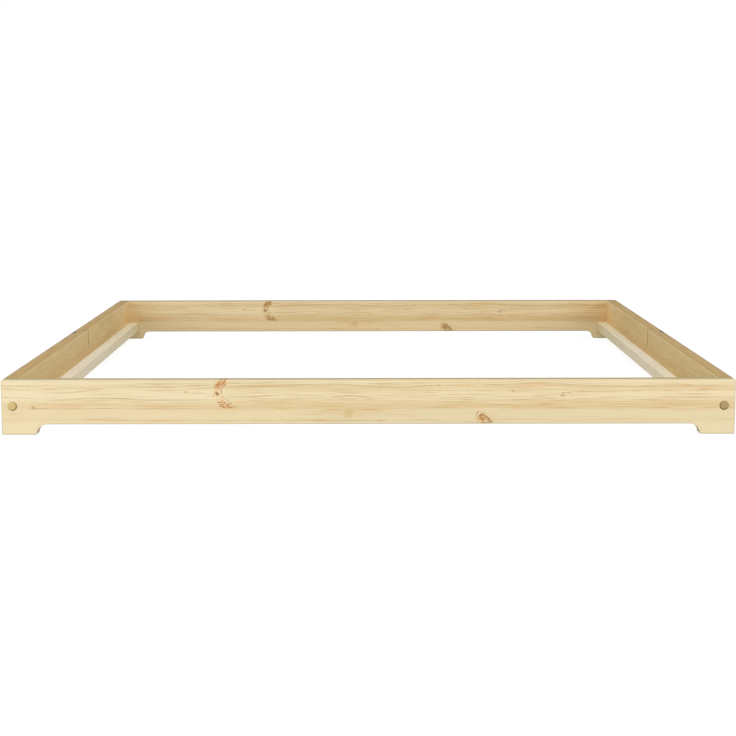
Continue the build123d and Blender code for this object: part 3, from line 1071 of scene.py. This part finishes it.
def knot_marks(recipe, place, knots, seed):
    """For all knots together: inside, dark lines and peach surround, each from 0 to 1. A knot is
    a drop, blunt at one end: root(x*x + (y*(1 + 0.55*x))**2) in its own half sizes."""
    uneven = recipe.noise(place, KNOT_REACH, detail=2.0, shift=seed) - 0.5
    inside = lines = around = None
    for knot in knots:
        near = recipe.boxed(
            place,
            (knot.along, knot.up, 0),
            turn=(0, 0, knot.lean),
            reach=(knot.long, knot.high, 50.0),
        )
        x, y = recipe.axes(near)[:2]
        y = y * (x * 0.55 + 1.0).most(0.80)
        far = (x * x + y * y).root() + uneven * 0.22
        body = far.fade(1.05, 0.85) * knot.dark
        edge = far.fade(0.72, 0.88) * far.fade(1.12, 0.98) * (0.95 + uneven)
        ring = far.fade(0.26, 0.36) * far.fade(0.56, 0.46) * 0.30
        heart = far.fade(0.24, 0.06) * 0.8
        outer = far.fade(1.24, 1.36) * far.fade(1.54, 1.42) * x.fade(0.3, -0.9) * 0.45
        drawn = edge.most(heart).most(ring).most(outer) * knot.dark
        halo = far.fade(2.0, 1.2) * knot.dark
        inside = body if inside is None else inside.most(body)
        lines = drawn if lines is None else lines.most(drawn)
        around = halo if around is None else around.most(halo)
    return inside, lines, around


def drawn(pattern, kind, along, up):
    """How much the pattern's strokes of one kind cover each place."""
    work = partial(strokes_share, getattr(pattern, kind))
    return along.recipe.shared(f"{pattern.name}_{kind}", along, up, work)


def pine(stock, along, up, depth, pattern, arris, ends):
    """Planed pine. Along, up and depth are the timber's own directions, and arris and ends are
    how far each place is from its rounded edges and its cut ends, all in metres."""
    recipe = along.recipe
    seed = stock.seed
    place = recipe.point(along, up, depth)
    bent = bent_grain(recipe, place, up, pattern.bends)
    grown = parted_grain(recipe, place, bent, pattern.parts)
    drift = recipe.noise(place, DRIFT_REACH, detail=2.0, shift=seed) - 0.5
    sway = recipe.noise(place, SWAY_REACH, detail=1.0, shift=seed + 1) - 0.5
    risen = grown + drift * DRIFT_PUSH + sway * SWAY_PUSH
    late, fresh, year = year_rings(recipe, risen, depth, stock)

    along_grain = recipe.point(along, risen, depth)
    fibre = recipe.noise(place, FIBRE_REACH, detail=3.0, shift=seed + 2)
    streak = recipe.noise(along_grain, STREAK_REACH, detail=2.0, shift=seed + 3)
    cloud = recipe.noise(place, CLOUD_REACH, detail=3.0, shift=seed + 4)
    pores = recipe.noise(place, PORE_REACH, detail=0.0, shift=seed + 5)
    thread = recipe.noise(along_grain, THREAD_REACH, detail=1.0, shift=seed + 8)
    darker_thread = thread.fade(0.53, 0.63)
    paler_thread = thread.fade(0.47, 0.37)

    clear = recipe.read_off(risen, pattern.clarity) * (1.0 - pattern.calm)
    shown = clear * stock.lines * (year * 0.8 + 0.2) * streak.fade(0.30, 0.62)
    warmth = recipe.read_off(risen, pattern.tones) * 0.80 + (cloud - 0.5) * 0.4
    warmth = warmth + (streak - 0.5) * 0.08 + pattern.pallor + 0.06
    colour = recipe.mix(warmth, stock.early, stock.warm)
    colour = recipe.mix(late * shown, colour, stock.late)
    colour = recipe.mix(darker_thread * clear * stock.lines * 1.90, colour, stock.late)
    colour = recipe.mix(paler_thread * clear * 0.85, colour, stock.early)
    colour = recipe.mix(fresh * clear * year * 0.35, colour, stock.early)

    uneven = up + sway * STROKE_SWAY
    if pattern.flushes:
        flushes = drawn(pattern, "flushes", along, uneven)
        colour = recipe.mix(flushes * (0.22 + cloud * 0.6), colour, FLUSH_ORANGE)
    if pattern.gleams:
        gleams = drawn(pattern, "gleams", along, uneven)
        colour = recipe.mix(gleams * 0.75, colour, stock.early)
    if pattern.strokes:
        strokes = drawn(pattern, "strokes", along, uneven)
        colour = recipe.mix(strokes * (0.40 + fibre * 0.52), colour, STROKE_BROWN)
    if pattern.layers:
        ragged = recipe.noise(place, RAGGED_REACH, detail=2.0, shift=seed + 7) - 0.5
        face = (along + ragged * RAGGED_ALONG, up + ragged * RAGGED_UP)
        for layer in pattern.layers:
            cover = recipe.shared(f"{layer.name}_cover", *face, partial(flecks_share, layer))
            colour = recipe.mix(cover * (0.75 + fibre * 0.40), colour, layer.colour)
    colour = recipe.shade(colour, 0.945 + fibre * 0.11)
    colour = recipe.shade(colour, 1.0 - pores.fade(0.66, 0.78) * 0.10)

    height = fibre * FIBRE_HEIGHT - late * LATE_DEPTH
    if pattern.knots:
        inside, lines, around = knot_marks(recipe, place, pattern.knots, seed + 6)
        colour = recipe.mix(around * 0.60, colour, KNOT_PEACH)
        colour = recipe.mix(inside * 0.40, colour, KNOT_RED)
        colour = recipe.mix(lines * 0.85, colour, KNOT_BROWN)
        height = height - lines * KNOT_DEPTH

    end = ends.fade(*END_FACE)
    colour = recipe.mix(end * 0.60, colour, recipe.mix(late * 0.7, END_GRAIN, stock.late))
    # Paler rounded edges: partly wear, partly painted highlight
    worn_and_lit = arris.fade(*WORN_AND_LIT_EDGE) * (0.35 + 0.9 * streak)
    colour = recipe.mix(worn_and_lit * stock.wear, colour, ARRIS_WEAR_AND_HIGHLIGHT)
    # Stains, painted shade and painted light, each laid over the colour by its share
    for share, stain in pattern.stains:
        colour = recipe.mix(share, colour, recipe.tint(colour, stain))
    rough = 0.62 - late * 0.08 + (fibre - 0.5) * 0.20 - worn_and_lit * 0.10 + end * 0.15
    return recipe.finish(colour, rough, height, Specular_IOR_Level=0.25)


# What a timber's face shows: its name, tables of its bends, parts, knots, strokes, gleams, flushes,
# layers, tones and clarity, how much warmer it is, how much fainter its years are, and its stains,
# painted shade and painted light, each a share and the share of red, green and blue kept
Pattern = namedtuple(
    "Pattern", "name bends parts knots strokes gleams flushes layers tones clarity pallor calm stains"
)
BOARD_PATTERN = Pattern(
    "board", BOARD_BENDS, BOARD_PARTS, [], BOARD_STROKES, BOARD_GLEAMS, BOARD_FLUSHES, BOARD_LAYERS,
    BOARD_TONES, BOARD_CLARITY, 0.0, 0.0, (),
)
RAIL_PATTERN = Pattern(
    "rail", RAIL_BENDS, RAIL_PARTS, RAIL_KNOTS, RAIL_STROKES, RAIL_GLEAMS, RAIL_FLUSHES, [],
    RAIL_TONES, RAIL_CLARITY, 0.0, 0.0, (),
)
BATTEN_PATTERN = Pattern(
    "batten", BATTEN_BENDS, BATTEN_PARTS, BATTEN_KNOTS, [], [], [], [], BATTEN_TONES, BATTEN_CLARITY,
    0.0, 0.0, (),
)


def second_least(first, second, third):
    """The middle one of three distances, small only beside an edge between two faces."""
    return first.least(second).most(first.most(second).least(third))


def end_board_pine(name, stock, face_y):
    """An end board's pine, with its pattern read from the face that looks to -Y."""
    recipe = Recipe(name)
    x, y, z = recipe.axes(recipe.place)
    depth = y - face_y
    ends = HALF_WIDTH - x.size()
    under = z - x.size().fade(FOOT_INNER + SWEEP_PAST, FOOT_INNER - FOOT_SWEEP) * UNDERSIDE
    across = depth.least(BOARD_THICKNESS - depth)
    arris = second_least(across, under.least(BOARD_HEIGHT - z), ends)
    pallor = x.fade(*PALE_ALONG) * z.fade(*PALE_UP) * LEFT_PALLOR
    calm = x.fade(*CALM_ALONG) * LEFT_CALM
    top = top_face(z) * depth.fade(*FRONT_TOP_DEPTH)
    inward = FOOT_INNER + SWEEP_PAST - x.size()
    sweep = inward.least(UNDERSIDE + SWEEP_OVER - z).fade(*SWEEP_FACE)
    sweep = sweep * depth.fade(*SWEEP_DEPTH)
    edge = ends.fade(*BOARD_EDGE)
    low = z.fade(*LOW_UP) * x.fade(*LOW_ALONG)
    stains = [
        (low, LOW_STAIN),
        # Painted shade on the top face, the underside and the quarter-rounds beside the feet
        (top, BOARD_TOP_SHADE),
        (under.fade(*FRONT_UNDER), UNDER_SHADE),
        (sweep, SWEEP_SHADE),
        (edge, EDGE_STAIN),
    ]
    layers = BOARD_LAYERS
    if face_y > 0:
        # The rear board's marks and resin are darker with painted shade
        marks = [layer._replace(colour=tinted(layer.colour, REAR_MARKS_SHADE)) for layer in layers[1:]]
        layers = [layers[0]._replace(colour=REAR_SHADED_RESIN), *marks]
        top = top_face(z) * depth.fade(*REAR_TOP_DEPTH)
        corner = x.size().fade(*CORNER_ALONG) * z.fade(*CORNER_UP) * CORNER_SHADE_SHARE
        stains = [
            # Painted shade on the top face, the underside and in the corners; then darker and
            # yellower low down
            (top, REAR_TOP_SHADE),
            (under.fade(*REAR_UNDER), REAR_UNDER_SHADE),
            (corner, CORNER_SHADE),
            (z.fade(*REAR_FOOT_UP), REAR_LOW_TINT),
        ]
    pattern = BOARD_PATTERN._replace(layers=layers, pallor=pallor, calm=calm, stains=stains)
    return pine(stock, x, z, depth, pattern, arris, ends)


def side_rail_pine(name):
    """The side rails' pine: one log seen from both sides, so its pattern is mirrored across X."""
    recipe = Recipe(name)
    x, y, z = recipe.axes(recipe.place)
    depth = x.size() - RAIL_LOW.x
    ends = RAIL_HIGH.y - y.size()
    arris = depth.least(RAIL_THICKNESS - depth).most((z - RAIL_LOW.z).least(RAIL_HIGH.z - z))
    far = y.fade(*RAIL_FAR)
    top = top_face(z)
    lines = flecks_share(Layer("top_lines", 0, 0, 0, None, RAIL_TOP_LINES), y, depth)
    spot = flecks_share(Layer("top_spot", 0, 0, 0, None, RAIL_TOP_SPOT), y, depth)
    pattern = RAIL_PATTERN._replace(
        stains=[
            # Painted shade on the top face
            (top, RAIL_TOP_SHADE),
            (top * lines, TOP_LINE_STAIN),
            (z.fade(*TOP_SPOT_UP) * spot, TOP_SPOT_STAIN),
            # Painted light towards the far end, and painted shade along the outer top edge
            (far * (1.0 - top), RAIL_FAR_LIGHT),
            (depth.fade(*OUTER_DEPTH) * z.fade(*OUTER_UP), OUTER_EDGE_SHADE),
        ]
    )
    return pine(RAIL_STOCK, y, z, depth, pattern, arris, ends)


def batten_pine(name):
    """The slat battens' paler pine, mirrored across X as the rails are. Its side has painted shade.
    """
    recipe = Recipe(name)
    x, y, z = recipe.axes(recipe.place)
    depth = x.size() - BATTEN_LOW.x
    ends = BATTEN_HIGH.y - y.size()
    across = depth.least(BATTEN_HIGH.x - BATTEN_LOW.x - depth)
    arris = across.most((z - BATTEN_LOW.z).least(BATTEN_HIGH.z - z))
    stains = [
        # Painted shade on the side and at the far end, and painted light at the near end
        (depth.fade(*BATTEN_SIDE_DEPTH), BATTEN_SIDE_SHADE),
        (y.fade(*BATTEN_FAR) * FAR_SHARE, BATTEN_FAR_SHADE),
        (y.fade(*BATTEN_NEAR), BATTEN_NEAR_LIGHT),
    ]
    pattern = BATTEN_PATTERN._replace(stains=stains)
    return pine(BATTEN_STOCK, y, z, depth, pattern, arris, ends)


def top_face(z):
    """1 on the timbers' top faces, which are level with each other."""
    start, whole = TOP_FACE_DROP
    return z.fade(BOARD_HEIGHT - start, BOARD_HEIGHT - whole)


def plug_wood(name, node, pale, dark, rim_and_shadow, shift, seed):
    """A turned cover plug: rings cut across its face, fine end pores, and a dark rim round a pale
    middle that lies off the plug's own middle by the shift. The rim is partly a dark edge and
    partly painted shadow, heaviest on the side away from the shift."""
    low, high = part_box(node)
    centre = (low + high) / 2
    radius = (high.x - low.x) / 2
    recipe = Recipe(name)
    place = recipe.boxed(recipe.place, tuple(centre))
    x, y, z = recipe.axes(place)
    sway = recipe.noise(place, (0.010, 0.020, 0.004), detail=2.0, shift=seed) - 0.5
    count = (z + x * 0.12 + sway * 0.002) / PLUG_RING
    late = count.part().fade(0.2, 0.9) * count.part().fade(1.0, 0.92)
    pores = recipe.noise(place, (0.0022, 0.02, 0.0005), detail=3.0, shift=seed + 1)
    cloud = recipe.noise(place, (0.012, 0.02, 0.008), detail=2.0, shift=seed + 2)
    far = recipe.length(recipe.point(x - shift[0], 0.0, z - shift[1])) / radius
    edge = far.fade(0.82, 1.00)
    colour = recipe.mix(late * 0.45 + (cloud - 0.5) * 0.9, pale, dark)
    colour = recipe.shade(colour, 0.94 + pores * 0.12)
    # The dark rim: a dark edge with painted shadow, heaviest away from the shift
    colour = recipe.mix(edge * 0.90, colour, rim_and_shadow)
    height = pores * 0.00010 - late * 0.00006
    return recipe.finish(colour, 0.55 + (pores - 0.5) * 0.2, height, Specular_IOR_Level=0.30)


def dowel_beech(name):
    """Fluted beech: pinkish tan with short dark ray flecks along the dowel."""
    recipe = Recipe(name)
    place = recipe.place
    fibre = recipe.noise(place, (0.0006, 0.018, 0.0006), detail=3.0, shift=1.0)
    rays = recipe.noise(place, (0.0005, 0.0022, 0.0005), detail=1.0, shift=2.0).fade(0.62, 0.70)
    cloud = recipe.noise(place, (0.010, 0.040, 0.010), detail=2.0, shift=3.0)
    colour = recipe.mix((cloud - 0.35) * 1.2, DOWEL_PALE, DOWEL_DARK)
    colour = recipe.shade(colour, 0.92 + fibre * 0.16)
    colour = recipe.mix(rays * 0.6, colour, RAY_BROWN)
    height = fibre * 0.00006 - rays * 0.00004
    return recipe.finish(colour, 0.58 + (fibre - 0.5) * 0.2, height, Specular_IOR_Level=0.3)


def plated_steel(name, bright, dull, tint, seed):
    """Zinc plating: soft spangle, fine drawing marks and duller, tinted patches."""
    recipe = Recipe(name)
    place = recipe.place
    spangle = recipe.noise(place, (0.0035, 0.0035, 0.0035), detail=2.0, shift=seed)
    marks = recipe.noise(place, (0.0060, 0.0002, 0.0060), detail=2.0, shift=seed + 1)
    patch = recipe.noise(place, (0.0080, 0.0080, 0.0080), detail=3.0, shift=seed + 2)
    colour = recipe.mix(patch.fade(0.35, 0.70), bright, dull)
    colour = recipe.mix(spangle.fade(0.50, 0.75) * 0.5, colour, tint)
    rough = 0.30 + patch.fade(0.4, 0.7) * 0.15 + (marks - 0.5) * 0.15
    height = marks * 0.00002 + spangle * 0.00002
    return recipe.finish(colour, rough, height, Metallic=1.0)


def dress(node_name, material):
    slots = NODES[node_name].material_slots
    for slot in slots:
        slot.material = material


def dress_all():
    front = end_board_pine("front_board_pine", BOARD_STOCK, BOARD_LOW.y)
    rear = end_board_pine("rear_board_pine", REAR_SHADED_STOCK, REAR_LOW.y)
    dress("front_end_board", front)
    dress("rear_end_board", rear)
    rail = side_rail_pine("side_rail_pine_grain")
    batten = batten_pine("batten_pine_grain")
    beech = dowel_beech("dowel_beech_grain")
    zinc = plated_steel("zinc_plate", *ZINC_TONES, 5.0)
    yellow = plated_steel("yellow_zinc_plate", *YELLOW_ZINC_TONES, 9.0)
    for side in ("left", "right"):
        dress(f"{side}_side_rail", rail)
        dress(f"{side}_slat_batten", batten)
        dress(f"{side}_batten_screws", yellow)
    for seed, corner in enumerate(CORNERS):
        plug = f"{corner}_cover_plug"
        side = corner.split("_")[1]
        wood = plug_wood(f"{plug}_wood", plug, *PLUG_TONES[side], PLUG_SHADES[side], 3.0 * seed)
        dress(plug, wood)
        dress(f"{corner}_dowels", beech)
        for fixing in ("corner_bolt", "washer", "barrel_nut"):
            dress(f"{corner}_{fixing}", zinc)


def floor_and_sky():
    """A plain pale floor that keeps the object's shadow, under an even white sky."""
    mesh = bpy.data.meshes.new("floor")
    reach = FLOOR_REACH
    corners = [(-reach, -reach, 0), (reach, -reach, 0), (reach, reach, 0), (-reach, reach, 0)]
    mesh.from_pydata(corners, [], [(0, 1, 2, 3)])
    floor = bpy.data.objects.new("floor", mesh)
    bpy.context.scene.collection.objects.link(floor)

    recipe = Recipe("floor_white")
    bounce = recipe.shader("ShaderNodeBsdfDiffuse", Color=grey(FLOOR_BOUNCE))
    shaded = recipe.shader("ShaderNodeBsdfDiffuse", Color=grey(FLOOR_SHADE_SHARE))
    glow = recipe.shader("ShaderNodeEmission", Strength=1.0 - FLOOR_SHADE_SHARE * SKY_LEVEL)
    pale = recipe.node("ShaderNodeAddShader")
    recipe.feed(pale.inputs[0], shaded.outputs[0])
    recipe.feed(pale.inputs[1], glow.outputs[0])
    both = recipe.node("ShaderNodeMixShader")
    recipe.feed(both.inputs[0], recipe.looked_at())
    recipe.feed(both.inputs[1], bounce.outputs[0])
    recipe.feed(both.inputs[2], pale.outputs[0])
    output = recipe.node("ShaderNodeOutputMaterial")
    recipe.feed(output.inputs["Surface"], both.outputs[0])
    mesh.materials.append(recipe.material)

    world = bpy.data.worlds.new("even_sky")
    bpy.context.scene.world = world
    world.use_nodes = True
    world.node_tree.nodes.clear()
    working = Working(world.node_tree)
    level = working.node("ShaderNodeMapRange")
    level.inputs["To Min"].default_value = SKY_LEVEL
    level.inputs["To Max"].default_value = 1.0
    working.feed(level.inputs["Value"], working.looked_at())
    sky = working.shader("ShaderNodeBackground", Color=grey(1.0))
    working.feed(sky.inputs["Strength"], level.outputs["Result"])
    output = working.node("ShaderNodeOutputWorld")
    working.feed(output.inputs["Surface"], sky.outputs[0])


def soft_lamp(name, place, aim, width, level):
    """A square lamp that lights a white surface facing it at aim to the given level."""
    data = bpy.data.lights.new(name, "AREA")
    data.shape = "SQUARE"
    data.size = width
    way = Vector(aim) - Vector(place)
    data.energy = level * pi * pi * way.length_squared
    lamp = bpy.data.objects.new(name, data)
    lamp.location = place
    lamp.rotation_euler = way.to_track_quat("-Z", "Y").to_euler()
    lamp.visible_camera = False
    bpy.context.scene.collection.objects.link(lamp)


def camera():
    data = bpy.data.cameras.new("photo_camera")
    data.sensor_width = SENSOR_WIDTH
    data.lens = FOCAL_PIXELS * SENSOR_WIDTH / PICTURE_PIXELS
    data.clip_end = 4 * FLOOR_REACH
    seen_from = bpy.data.objects.new("photo_camera", data)
    aim = Euler((radians(90 + CAMERA_PITCH), 0, radians(CAMERA_YAW))).to_matrix().to_4x4()
    roll = Matrix.Rotation(radians(CAMERA_ROLL), 4, "Z")
    seen_from.matrix_world = Matrix.Translation(CAMERA_PLACE) @ aim @ roll
    bpy.context.scene.collection.objects.link(seen_from)
    bpy.context.scene.camera = seen_from


dress_all()
floor_and_sky()
for side in (-1, 1):
    place = (side * KEY_PLACE[0], *KEY_PLACE[1:])
    soft_lamp("key_lamp", place, KEY_AIM, KEY_WIDTH, KEY_LEVEL)
soft_lamp("top_lamp", TOP_PLACE, TOP_AIM, TOP_WIDTH, TOP_LEVEL)
camera()
bpy.context.scene.view_settings.view_transform = "Standard"
